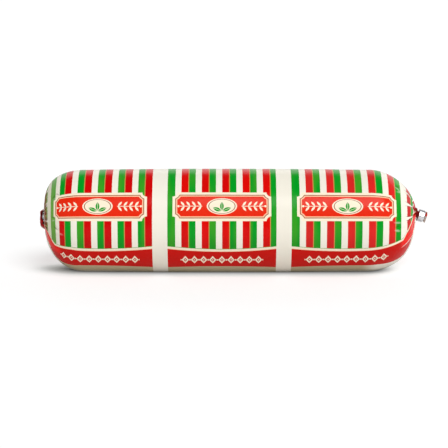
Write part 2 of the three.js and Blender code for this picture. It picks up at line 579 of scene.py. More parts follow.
@dataclass
class FilmLog:
    """The cheese in its film, with necks and tails, in millimetres."""

    # the barrel's section, and how much slimmer the barrel is at its ends, as a share
    axis_height: float = 44.6
    half_width: float = 48.2
    half_height: float = 47.5
    base_blend: float = 0.8
    belly: float = 0.02
    # the gathered ends: radii, and how deep pleats and folds are, as shares of the radius but for
    # fold_depth, which is along X
    neck_radius: float = 2.8
    root_radius: float = 6
    dimple_radius: float = 19
    pleated_share: float = 0.62
    pleat_depth: float = 0.3
    fold_depth: float = 1.6
    neck_fold: float = 0.12
    tail_fold: float = 0.22
    # the tail's outer face, from its middle out: how far in from its end, and share of its radius
    tail_face: tuple[tuple[float, float], ...] = ((0.6, 0.0), (0.2, 0.4), (0.0, 0.75), (0.5, 1.0))
    # radii further in, as shares: half way along the tail, beside the clip and inside it
    tail_waist: float = 0.92
    neck_flare: float = 1.3
    clip_squeeze: float = 0.94
    # the tail's lobes bend back past this reach
    clip_reach: float = 6.2
    return_over: float = 5.0
    # how fine the mesh is
    columns: int = 330
    tail_steps: int = 4
    cap_rings: int = 80
    barrel_rings: int = 50
    # the lap seam
    seam_around: float = -131.0
    seam_half_width: float = 6.0
    seam_height: float = 0.3
    seam_edge: float = 1.2
    # where painted light and shade go: at folds from this share of the radius in, and painted shade
    # round a neck, less so on its tail
    pinch_from: float = 0.78
    pinch_over: float = 0.4
    no_fold: float = 99.0
    neck_shade_fade: float = 5.0
    tail_shade_share: float = 0.5
    # relief: dents all over, wrinkles on the caps, crumples on the tails and none at the base
    dent_height: float = 0.3
    dent_size: float = 42.0
    dented_from: float = 0.3
    dented_over: float = 0.4
    wrinkle_height: float = 0.35
    wrinkle_length: float = 24.0
    wrinkle_width: float = 3.4
    wrinkle_sharpness: float = 2.4
    wrinkled_over: float = 0.5
    crumple_height: float = 0.9
    crumples_per_metre: float = 330.0
    crumpled_over: float = 1.5
    still_height: float = 1.0
    still_over: float = 5.0
    seed: int = 7
    dents: tuple[Dent, ...] = (
        Dent(145.6, 67.6, 5.0, 1.5, 12, -0.5),
        Dent(145.6, 71.4, 4.2, 1.6, -20, 0.85),
        Dent(150.0, 71.8, 3.6, 1.4, 12, -0.55),
        Dent(144.6, 75.8, 4.0, 1.5, 30, -0.55),
        Dent(145.5, 25.8, 4.4, 1.4, 40, -0.5),
        Dent(147.6, 30.0, 4.2, 1.4, -20, -0.5),
        Dent(146.0, 21.0, 4.0, 1.5, -30, 0.8),
        Dent(-166, 37, 4.5, 1.0, -35, 0.9),
        Dent(-160, 36, 3.0, 1.0, 40, 0.7),
        Dent(-163, 40, 5.0, 1.6, -20, -0.4),
        Dent(-166, 61, 4.0, 1.0, -8, 0.8),
        Dent(-166, 64.5, 4.0, 1.4, -8, -0.4),
        Dent(-163, 73, 4.0, 1.0, 28, 0.8),
        Dent(-158, 78, 6.0, 1.6, 10, -0.4),
        Dent(-150, 70, 9.0, 1.6, 15, 0.25),
        Dent(-148, 24, 8.0, 1.6, -25, 0.25),
        Dent(140, 90, 9.0, 1.8, -15, 0.25),
        Dent(-158, -40, 6.0, 1.3, 20, 0.6),
        Dent(-160, -84, 5.0, 1.2, -15, 0.6),
        Dent(150, -50, 6.0, 1.3, -25, 0.5),
        Dent(154, -92, 5.0, 1.4, 10, 0.5),
    )
    # places along the film from the log's middle, and where in the print each one is
    stretch: tuple[tuple[float, float], ...] = (
        (-214, -219.2),
        (-204, -213.6),
        (-202, -203),
        (-180, -190.5),
        (-172.2, -183.9),
        (-167, -170.3),
        (-150, -150),
        (50, 50),
        (145, 142.75),
        (152, 148.6),
        (160, 162.2),
        (172.5, 174.9),
        (173.5, 180.4),
        (185, 186.4),
        (186, 198.8),
        (196, 204.6),
        (199, 212),
        (208, 216.5),
    )

    def tail_stations(self, end: LogEnd) -> list[Station]:
        """Rings from the middle of a tail's outer face, over its lobes and along the neck.

        Args:
            end: the end of the log.

        Returns:
            The rings, from outside in, as close together as tail_steps asks.
        """
        outer, inner, start, side = end.tail_end, end.clip_end, end.clip_start, end.side
        face = [
            (outer - side * inset, end.tail_radius * share, Ring.TAIL)
            for inset, share in self.tail_face
        ]
        corners = [
            *face,
            ((outer + inner) / 2, end.tail_radius * self.tail_waist, Ring.TAIL),
            (inner + side * CLIP.gap, self.neck_radius * self.neck_flare, Ring.TAIL),
            (inner, self.neck_radius, Ring.NECK),
            ((inner + start) / 2, self.neck_radius * self.clip_squeeze, Ring.NECK),
            (start, self.neck_radius, Ring.NECK),
            ((start + end.root_x) / 2, self.neck_radius * self.neck_flare, Ring.NECK),
            (end.root_x, self.root_radius, Ring.NECK),
        ]
        stations = []
        for (x, radius, kind), (next_x, next_radius, _) in zip(corners, corners[1:]):
            for step in range(self.tail_steps):
                share = step / self.tail_steps
                place = x + (next_x - x) * share
                stations.append(Station(place, radius + (next_radius - radius) * share, kind, end))
        return stations

    def cap_form(self, end: LogEnd, height: np.ndarray) -> tuple[np.ndarray, np.ndarray]:
        """The form of a rounded end at a height.

        Args:
            end: the end of the log.
            height: the height, 1 at its top and 0 at its bottom.

        Returns:
            Its depth and its bluntness there.
        """
        depth = end.bottom.depth + (end.top.depth - end.bottom.depth) * height
        bluntness = end.bottom.bluntness + (end.top.bluntness - end.bottom.bluntness) * height
        return depth, bluntness

    def gathering(self, radius: float) -> float:
        """How strongly the film is pleated where an end has this radius: 1 at the root."""
        return float(smooth(1 - radius / self.half_height / self.pleated_share))

    def cap_inset(self, end: LogEnd, radius: float, angle: np.ndarray) -> np.ndarray:
        """How far in from its pole a rounded end is.

        Args:
            end: the end of the log.
            radius: the ring's radius.
            angle: the points' angles round the log.

        Returns:
            How far in each point is, in millimetres.
        """
        depth, bluntness = self.cap_form(end, (1 + np.cos(angle)) / 2)
        round_off = np.maximum(0, 1 - (radius / self.half_height) ** bluntness)
        drawn = 1 - smooth((radius - self.root_radius) / (self.dimple_radius - self.root_radius))
        fold = self.fold_depth * (1 - end.pleat(angle)) * self.gathering(radius)
        return depth * (1 - np.sqrt(round_off)) + end.dimple * drawn + fold

    def cap_stations(self, end: LogEnd) -> list[Station]:
        """Rings from the root of an end's neck out to the barrel.

        Args:
            end: the end of the log.

        Returns:
            The rings, closest together where the end curves most.
        """
        _, bluntness = self.cap_form(end, 0.5)
        power = 2 / bluntness
        root_turn = math.asin((self.root_radius / self.half_height) ** (1 / power))
        stations = []
        for i in range(self.cap_rings + 1):
            turn = root_turn + (math.pi / 2 - root_turn) * i / self.cap_rings
            radius = self.half_height * min(1.0, math.sin(turn) ** power)
            stations.append(Station(end.pole, radius, Ring.CAP, end))
        return stations

    def barrel_stations(self) -> list[Station]:
        """Rings along the nearly straight barrel.

        Returns:
            The rings between the two rounded ends, evenly spaced.
        """
        first = LEFT.pole + LEFT.bottom.depth
        last = RIGHT.pole - RIGHT.bottom.depth
        shares = [i / self.barrel_rings for i in range(1, self.barrel_rings)]
        radius = self.half_height
        return [
            Station(first + (last - first) * share, radius, Ring.BARREL, along=share)
            for share in shares
        ]

    def stations(self) -> list[Station]:
        """Puts the log's rings in order.

        Returns:
            All rings, from the left tail's outer face to the right one's.
        """
        return [
            *self.tail_stations(LEFT),
            *self.cap_stations(LEFT),
            *self.barrel_stations(),
            *reversed(self.cap_stations(RIGHT)),
            *reversed(self.tail_stations(RIGHT)),
        ]

    def ring_reach(self, station: Station, angle: np.ndarray) -> tuple[np.ndarray, np.ndarray]:
        """How far a ring's points are from its middle, and how far they move along X.

        Args:
            station: the ring.
            angle: the points' angles round the log.

        Returns:
            The reach and the shift along X, in millimetres.
        """
        still = np.zeros_like(angle)
        if station.kind is Ring.BARREL:
            slimming = self.belly * (2 * station.along - 1) ** 2
            return station.radius * (1 - slimming) + still, still
        end = station.end
        fold = 1 - end.pleat(angle)
        if station.kind is Ring.CAP:
            cut = self.pleat_depth * self.gathering(station.radius) * fold
            return station.radius * (1 - self.belly) * (1 - cut), still
        if station.kind is Ring.NECK:
            return station.radius * (1 - self.neck_fold * fold), still
        flare = end.tail_radius - self.neck_radius
        spread = float(clamp01((station.radius - self.neck_radius) / flare))
        lobe = end.tail_lobe * end.lobes(angle) * spread
        distance = station.radius * (1 - self.tail_fold * fold) + lobe
        back = end.lobe_return * smooth((distance - self.clip_reach) / self.return_over)
        return distance, -end.side * back

    def ring_points(self, station: Station, angle: np.ndarray) -> np.ndarray:
        """One ring of the film: oval and sagged, rounded and pleated, its neck turned down.

        Args:
            station: the ring.
            angle: the points' angles round the log.

        Returns:
            The points, one row each, in millimetres.
        """
        distance, shift = self.ring_reach(station, angle)
        share = station.radius / self.half_height
        oval = 1 + (self.half_width / self.half_height - 1) * float(smooth(share))
        distance = distance + self.seam(angle) * share
        x = station.x + shift
        y = -distance * oval * np.sin(angle)
        z = distance * np.cos(angle)
        end = station.end
        if station.kind is Ring.CAP:
            x = x - end.side * self.cap_inset(end, station.radius, angle)
        elif end is not None:
            turn = end.side * end.tilt
            out = x - end.root_x
            x = end.root_x + out * math.cos(turn) + z * math.sin(turn)
            z = z * math.cos(turn) - out * math.sin(turn)
        rise = end.neck_rise * (1 - float(smooth(share))) if end else 0.0
        z = smooth_max(self.axis_height + rise + z, 0.0, self.base_blend)
        return np.stack([x, y, z], axis=-1)

    def seam(self, angle: np.ndarray) -> np.ndarray:
        """Height of the lap seam that closes the tube, low along the back."""
        off = np.abs(angle * self.half_height - self.seam_around)
        return self.seam_height * smooth((self.seam_half_width - off) / self.seam_edge + 0.5)

    def press_dents(
        self, grid: np.ndarray, along: np.ndarray, around: np.ndarray
    ) -> tuple[np.ndarray, np.ndarray]:
        """Presses the dents into the grid, towards the log's axis.

        Args:
            grid: the film's points, in rings and columns.
            along: their places along the print.
            around: their places round it.

        Returns:
            The grid with its dents, and how deep each point was pressed.
        """
        pressed = np.zeros_like(along)
        inwards = np.stack([0 * along, -grid[..., 1], self.axis_height - grid[..., 2]], axis=-1)
        inwards /= np.maximum(np.linalg.norm(inwards, axis=-1, keepdims=True), 1e-6)
        for dent in self.dents:
            turn = math.radians(dent.turn)
            off_along, off_around = along - dent.along, around - dent.around
            out = off_along * math.cos(turn) + off_around * math.sin(turn)
            side = off_around * math.cos(turn) - off_along * math.sin(turn)
            off = (out / dent.length) ** 2 + (side / dent.width) ** 2
            pressed += dent.depth * np.exp(-off)
        return grid + inwards * pressed[..., None], pressed

    def print_along(self, grid: np.ndarray) -> np.ndarray:
        """Where along the print each point of the grid is, in millimetres.

        Args:
            grid: the film's points, in rings and columns.

        Returns:
            The places, measured over the film's own surface and then stretched as the film is.
        """
        steps = np.linalg.norm(np.diff(grid, axis=0), axis=2)
        walked = np.vstack([np.zeros(steps.shape[1]), np.cumsum(steps, axis=0)])
        columns = range(grid.shape[1])
        middle = np.array([np.interp(0, grid[:, j, 0], walked[:, j]) for j in columns])
        arcs, places = zip(*self.stretch)
        return np.interp(walked - middle, arcs, places)

    def print_corners(
        self, stations: list[Station], along: np.ndarray, angles: np.ndarray
    ) -> np.ndarray:
        """The place in the print of each quad's four corners.

        Args:
            stations: the rings.
            along: where along the print each point of the grid is.
            angles: the angle of each column.

        Returns:
            Places along and round the print, as an array of rings, columns, corners and 2.
        """
        low = np.stack([along[:-1, :-1], along[:-1, 1:], along[1:, 1:], along[1:, :-1]], axis=-1)
        columns = np.stack([angles[:-1], angles[1:], angles[1:], angles[:-1]], axis=-1)
        tails = [station.end.tail_twist if station.kind is Ring.TAIL else 0 for station in stations]
        around = columns * self.half_height + np.array(tails[1:])[:, None, None]
        return np.stack([low, np.broadcast_to(around, low.shape)], axis=-1)

    def fold_places(self, stations: list[Station], angle: np.ndarray) -> tuple[np.ndarray, ...]:
        """How far each point is from the nearest fold, and how tightly the film is gathered there.

        Args:
            stations: the rings.
            angle: the angle of each column.

        Returns:
            The distances in millimetres, with no_fold where there is none, and the tightness, 0 on
            the barrel and 1 at the necks.
        """
        far = np.full((len(stations), len(angle)), self.no_fold)
        tight = np.zeros_like(far)
        for i, station in enumerate(stations):
            end = station.end
            if station.kind is Ring.CAP:
                far[i] = np.arcsin(end.pleat(angle)) * 2 / end.pleats * station.radius
                share = station.radius / self.half_height
                tight[i] = smooth((self.pinch_from - share) / self.pinch_over)
            elif end is not None:
                tight[i] = 1.0
        return far, tight

    def build(self, finish: bpy.types.Material, relief: bpy.types.NodeTree) -> bpy.types.Object:
        """Makes the film as one closed mesh, with its relief, and dresses it.

        Args:
            finish: the printed film's material.
            relief: the Geometry Nodes tree that dents and wrinkles it.

        Returns:
            The piece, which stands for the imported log.
        """
        angles = np.linspace(-math.pi, math.pi, self.columns + 1)
        stations = self.stations()
        grid = np.array([self.ring_points(station, angles) for station in stations])
        along = self.print_along(grid)
        around = np.broadcast_to(angles * self.half_height, along.shape)
        grid, pressed = self.press_dents(grid, along, around)
        corners = self.print_corners(stations, along, angles)
        rings = len(stations) - 2
        poles = np.array([grid[0].mean(axis=0), grid[-1].mean(axis=0)])
        vertices = np.vstack([grid[1:-1, :-1].reshape(-1, 3), poles]) * MM
        faces, places = self.faces(rings, corners)
        mesh = bpy.data.meshes.new("printed_film")
        mesh.from_pydata(vertices.tolist(), [], faces)
        layer = mesh.uv_layers.new(name="print")
        layer.data.foreach_set("uv", np.array(places, np.float32).ravel())
        numbers = self.shares(stations[1:-1], grid[1:-1, :-1, 2])
        folds = self.fold_places(stations[1:-1], angles[:-1])
        numbers["fold_distance"], numbers["tightness"] = folds
        for name, full in (("place_along", along), ("place_around", around), ("pressed", pressed)):
            numbers[name] = full[1:-1, :-1]
        for name, values in numbers.items():
            self.store(mesh, name, values)
        mesh.shade_smooth()
        piece = new_piece("printed_film", mesh)
        values = {
            "Material": finish,
            "Dent height": self.dent_height * MM,
            "Dent size": self.dent_size * MM,
            "Wrinkle height": self.wrinkle_height * MM,
            "Wrinkle length": self.wrinkle_length,
            "Wrinkle width": self.wrinkle_width,
            "Wrinkle sharpness": self.wrinkle_sharpness,
            "Crumple height": self.crumple_height * MM,
            "Crumples per metre": self.crumples_per_metre,
            "Seed": self.seed,
        }
        dress_with_nodes(piece, relief, values)
        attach(piece, "root")
        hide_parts("film_log")
        LOG.info("printed_film: %d faces", len(piece.data.polygons))
        return piece

    def shares(self, stations: list[Station], height: np.ndarray) -> dict[str, np.ndarray]:
        """How much each kind of relief, and the painted neck shade, shows at each point of the
        film.

        Args:
            stations: the rings.
            height: the height of each point.

        Returns:
            The shares, 0 to 1, by their names.
        """
        radius = np.array([station.radius for station in stations])
        gathered = np.array([s.end.neck_shade_radius if s.end else 0 for s in stations])
        cap, neck, tail = (
            np.array([station.kind is kind for station in stations])
            for kind in (Ring.CAP, Ring.NECK, Ring.TAIL)
        )
        share = radius / self.half_height
        dented = ~(neck | tail) * smooth((share - self.dented_from) / self.dented_over)
        wrinkled = cap * smooth((1.0 - share) / self.wrinkled_over)
        crumpled = tail * smooth((radius - self.neck_radius) / self.crumpled_over)
        near_neck = smooth((gathered - radius) / self.neck_shade_fade)
        off_base = smooth((height - self.still_height) / self.still_over)
        everywhere = np.ones_like(height)
        return {
            "dent_share": dented[:, None] * off_base,
            "wrinkle_share": wrinkled[:, None] * off_base,
            "crumple_share": crumpled[:, None] * everywhere,
            # painted shade and roughening round the necks, less on the tails
            "neck_share": (near_neck * (1 - self.tail_shade_share * tail))[:, None] * everywhere,
        }

    def faces(self, rings: int, corners: np.ndarray) -> tuple[list[tuple[int, ...]], list]:
        """The film's faces and where each of their corners is in the print.

        Args:
            rings: how many rings lie between the two poles.
            corners: the print places of each quad's corners.

        Returns:
            The faces, and the print place of each face corner in turn.
        """
        count = self.columns
        left_pole, right_pole = rings * count, rings * count + 1
        faces = []
        places = []
        for j in range(count):
            faces.append((left_pole, (j + 1) % count, j))
            places.extend(corners[0, j, [0, 2, 3]])
        for i in range(rings - 1):
            low, high = i * count, (i + 1) * count
            for j in range(count):
                k = (j + 1) % count
                faces.append((low + j, low + k, high + k, high + j))
                places.extend(corners[i + 1, j])
        low = (rings - 1) * count
        for j in range(count):
            faces.append((low + j, low + (j + 1) % count, right_pole))
            places.extend(corners[rings, j, [0, 1, 2]])
        return faces, places

    def store(self, mesh: bpy.types.Mesh, name: str, shares: np.ndarray) -> None:
        """Stores one number for each vertex of the film.

        Args:
            mesh: the film's mesh.
            name: the attribute's name.
            shares: the numbers, in rings and columns. A pole gets the mean of the ring next to it.
        """
        poles = np.array([shares[0].mean(), shares[-1].mean()])
        attribute = mesh.attributes.new(name, "FLOAT", "POINT")
        attribute.data.foreach_set("value", np.append(shares.ravel(), poles).astype(np.float32))


def film_relief() -> bpy.types.NodeTree:
    """Makes the tree that dents the film softly all over and wrinkles its gathered ends.

    Returns:
        The tree. Its sizes are in metres, but for a wrinkle's length and width, which are in the
        print's millimetres.
    """
    sizes = (
        "Dent height",
        "Dent size",
        "Wrinkle height",
        "Wrinkle length",
        "Wrinkle width",
        "Wrinkle sharpness",
        "Crumple height",
        "Crumples per metre",
    )
    tree = geometry_tree("film_relief", dict.fromkeys(sizes, "Float") | {"Seed": "Int"})
    nodes, links = tree.nodes, tree.links
    inputs = nodes["Group Input"].outputs
    given = {label: Wire(tree, inputs[label]) for label in (*sizes, "Seed")}

    def stored(name: str) -> Wire:
        """Reads a number stored at each vertex.

        Args:
            name: the attribute's name.

        Returns:
            The number.
        """
        node = nodes.new("GeometryNodeInputNamedAttribute")
        node.data_type = "FLOAT"
        node.inputs["Name"].default_value = name
        return Wire(tree, node.outputs["Attribute"])

    def noise(place: bpy.types.NodeSocket, seed_step: float, detail: float) -> Wire:
        """Makes noise of size 1 at a place.

        Args:
            place: the socket that puts the place out.
            seed_step: how far it is from the seed, so that no two kinds of relief are alike.
            detail: how many finer noises are added.

        Returns:
            The noise, -1 to 1.
        """
        node = nodes.new("ShaderNodeTexNoise")
        node.noise_dimensions = "4D"
        node.inputs["Scale"].default_value = 1.0
        node.inputs["Detail"].default_value = detail
        links.new(place, node.inputs["Vector"])
        links.new((given["Seed"] + seed_step).socket, node.inputs["W"])
        return Wire(tree, node.outputs[0]) * 2.0 - 1.0

    position = nodes.new("GeometryNodeInputPosition").outputs[0]
    dent_place = scaled(tree, position, given["Dent size"].math("POWER", -1.0))
    dents = noise(dent_place, seed_step=0.0, detail=1.5) * given["Dent height"]
    along = stored("place_along") / given["Wrinkle length"]
    around = stored("place_around") / given["Wrinkle width"]
    streak = abs(noise(joined(along, around), seed_step=3.0, detail=1.0))
    ridges = (1.0 - streak * given["Wrinkle sharpness"]).larger(0.0) * given["Wrinkle height"]
    crumple_place = scaled(tree, position, given["Crumples per metre"])
    crumples = noise(crumple_place, seed_step=5.0, detail=2.0) * given["Crumple height"]
    height = dents * stored("dent_share") + ridges * stored("wrinkle_share")
    height = height + crumples * stored("crumple_share")
    move = nodes.new("GeometryNodeSetPosition")
    links.new(inputs["Geometry"], move.inputs["Geometry"])
    normal = nodes.new("GeometryNodeInputNormal").outputs[0]
    links.new(scaled(tree, normal, height), move.inputs["Offset"])
    end_tree(tree, move.outputs["Geometry"])
    return tree


# ---- the clips -------------------------------------------------------------------------------


@dataclass
class ClipBar:
    """An aluminium clip bent round a neck, in millimetres."""

    end: LogEnd
    axis_height: float
    neck_radius: float
    crimps: int = 11
    crimp_depth: float = 0.08
    crimp_width: float = 0.3
    corner_steps: int = 8
    back_steps: int = 36
    samples: int = 220
    edge_points: int = 5

    def line(self) -> list[tuple[float, float, float]]:
        """The middle line of the metal, across the neck: turned-in ends, legs and back.

        Returns:
            The line's points in order, in millimetres.
        """
        half = self.neck_radius + CLIP.gap + CLIP.thickness / 2
        foot = -CLIP.leg - CLIP.corner
        corner_y = half - CLIP.corner
        points = [(0.0, CLIP.slit / 2, foot)]
        # middle, radius, first and last half turn and number of steps of each arc
        arcs = (
            (corner_y, -CLIP.leg, CLIP.corner, -0.5, 0.0, self.corner_steps),
            (0.0, 0.0, half, 0.0, 1.0, self.back_steps),
            (-corner_y, -CLIP.leg, CLIP.corner, 1.0, 1.5, self.corner_steps),
        )
        for centre_y, centre_z, radius, first, last, steps in arcs:
            for i in range(steps + 1):
                turn = math.pi * (first + (last - first) * i / steps)
                y = centre_y + radius * math.cos(turn)
                points.append((0.0, y, centre_z + radius * math.sin(turn)))
        points.append((0.0, -CLIP.slit / 2, foot))
        return points

    def place(self) -> Matrix:
        """Where the clip goes.

        Returns:
            The move that puts it round its neck, turned about it and tilted with it.
        """
        end = self.end
        root = Vector((end.root_x, 0, self.axis_height + end.neck_rise)) * MM
        out = (end.clip_start + end.clip_end) / 2 - end.root_x
        return (
            Matrix.Translation(root)
            @ Matrix.Rotation(end.side * end.tilt, 4, "Y")
            @ Matrix.Translation(Vector((out, 0, 0)) * MM)
            @ Matrix.Rotation(end.clip_turn, 4, "X")
        )

    def build(self, finish: bpy.types.Material, bar: bpy.types.NodeTree) -> bpy.types.Object:
        """Makes the clip and dresses it.

        Args:
            finish: the aluminium.
            bar: the Geometry Nodes tree that sweeps and crimps the metal.

        Returns:
            The piece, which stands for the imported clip.
        """
        name = f"clip_bar_{self.end.name}"
        points = [Vector(point) * MM for point in self.line()]
        mesh = bpy.data.meshes.new(name)
        mesh.from_pydata(points, [(i, i + 1) for i in range(len(points) - 1)], [])
        piece = new_piece(name, mesh)
        values = {
            "Material": finish,
            "Width": CLIP.width * MM,
            "Thickness": CLIP.thickness * MM,
            "Rounding": CLIP.rounding * MM,
            "Crimps": self.crimps,
            "Crimp depth": self.crimp_depth,
            "Crimp width": self.crimp_width,
            "Samples": self.samples,
            "Edge points": self.edge_points,
        }
        dress_with_nodes(piece, bar, values)
        piece.data.transform(self.place())
        piece.data.shade_smooth()
        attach(piece, "root")
        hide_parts(f"clip_{self.end.name}")
        LOG.info("%s: %d faces", name, len(piece.data.polygons))
        return piece


def clip_sweep() -> bpy.types.NodeTree:
    """Makes the tree that sweeps a rounded bar along a clip's line and crimps it.

    Returns:
        The tree. Its sizes are in metres, but for the crimps. Their depth is a share of the bar's
        size, and one lies wherever a wave along the line is lower than the crimp width.
    """
    sizes = ("Width", "Thickness", "Rounding", "Crimp depth", "Crimp width")
    counts = ("Crimps", "Samples", "Edge points")
    kinds = dict.fromkeys(sizes, "Float") | dict.fromkeys(counts, "Int")
    tree = geometry_tree("clip_sweep", kinds)
    nodes, links = tree.nodes, tree.links
    given = nodes["Group Input"].outputs

    path = nodes.new("GeometryNodeMeshToCurve")
    links.new(given["Geometry"], path.inputs["Mesh"])
    close = nodes.new("GeometryNodeResampleCurve")
    links.new(given["Samples"], close.inputs["Count"])
    links.new(path.outputs["Curve"], close.inputs["Curve"])
    share = Wire(tree, nodes.new("GeometryNodeSplineParameter").outputs["Factor"])
    wave = abs((share * Wire(tree, given["Crimps"]) * math.pi).math("SINE"))
    notch = (1.0 - wave / Wire(tree, given["Crimp width"])).eased()
    size = 1.0 - notch * Wire(tree, given["Crimp depth"])
    upright = nodes.new("GeometryNodeSetCurveNormal")
    upright.mode = "FREE"
    upright.inputs["Normal"].default_value = (1.0, 0.0, 0.0)
    links.new(close.outputs["Curve"], upright.inputs["Curve"])
    section = nodes.new("GeometryNodeCurvePrimitiveQuadrilateral")
    links.new(given["Width"], section.inputs["Width"])
    links.new(given["Thickness"], section.inputs["Height"])
    rounded = nodes.new("GeometryNodeFilletCurve")
    rounded.mode = "POLY"
    links.new(given["Edge points"], rounded.inputs["Count"])
    links.new(section.outputs["Curve"], rounded.inputs["Curve"])
    links.new(given["Rounding"], rounded.inputs["Radius"])
    bar = nodes.new("GeometryNodeCurveToMesh")
    bar.inputs["Fill Caps"].default_value = True
    links.new(upright.outputs["Curve"], bar.inputs["Curve"])
    links.new(rounded.outputs["Curve"], bar.inputs["Profile Curve"])
    links.new(size.socket, bar.inputs["Scale"])
    end_tree(tree, bar.outputs["Mesh"])
    return tree


# ---- the print -------------------------------------------------------------------------------


class Drawing:
    """Lays flat inks over one another in a node tree, each where a shape's mask is 1."""

    def __init__(self, tree: bpy.types.NodeTree, ground: Colour | bpy.types.NodeSocket) -> None:
        """Starts with a ground.

        Args:
            tree: the shader node tree to draw in.
            ground: the colour under every shape, or the socket that puts it out.
        """
        self.tree = tree
        self.colour = ground
        if isinstance(ground, tuple):
            node = tree.nodes.new("ShaderNodeRGB")
            node.outputs[0].default_value = ground
            self.colour = node.outputs[0]

    def paint(self, shape: Wire, colour: Colour) -> None:
        """Lays an ink over the drawing.

        Args:
            shape: the mask, 1 where the ink goes.
            colour: the ink.
        """
        node = self.tree.nodes.new("ShaderNodeMix")
        node.data_type = "RGBA"
        self.tree.links.new(shape.socket, node.inputs["Factor"])
        self.tree.links.new(self.colour, node.inputs["A"])
        node.inputs["B"].default_value = colour
        self.colour = node.outputs["Result"]


@dataclass(frozen=True)
class Inks:
    """The print's colours, and those of the painted shade, highlights, glints and sheen."""

    film: Colour = ink(248, 243, 228)
    red: Colour = ink(226, 8, 3)
    green: Colour = ink(0, 158, 34)
    thin_green: Colour = ink(92, 168, 36)
    # also laid as painted shade near the top of the stripes
    deep_red: Colour = ink(196, 0, 6)
    hairline: Colour = ink(206, 150, 84)
    plaque: Colour = ink(236, 44, 16)
    band: Colour = ink(208, 16, 6)
    # painted highlight on the band near the log's ends
    band_painted_highlight: Colour = ink(246, 30, 16)
    # tan tint below the band, partly print and partly painted shade
    under_band_tint_and_shade: Colour = ink(198, 184, 148)
    keyline: Colour = ink(160, 84, 52)
    rim: Colour = ink(255, 206, 168)
    motif: Colour = ink(255, 240, 214)
    # painted shade, dark red, in the necks
    gathered: Colour = ink(124, 22, 24)
    # painted shade, brown, on the caps round the necks
    brown_painted_shade: Colour = ink(178, 134, 88)
    # painted sheen towards the left neck
    painted_sheen: Colour = ink(190, 190, 120)
    # painted shade in folds, creases and necks, and low on the stripes
    painted_shade: Colour = ink(56, 26, 10)
    # painted glints on the creases' ridges
    glint: Colour = ink(255, 252, 240)


@dataclass(frozen=True)
class Fade:
    """A soft change: none up to its start, and as deep as its depth from its full place on."""

    start: float
    full: float
    depth: float = 1.0

    def of(self, place: Wire) -> Wire:
        """Gives how far the change has come at a place, from 0 to its depth."""
        return place.ramp(self.start, self.full - self.start) * self.depth


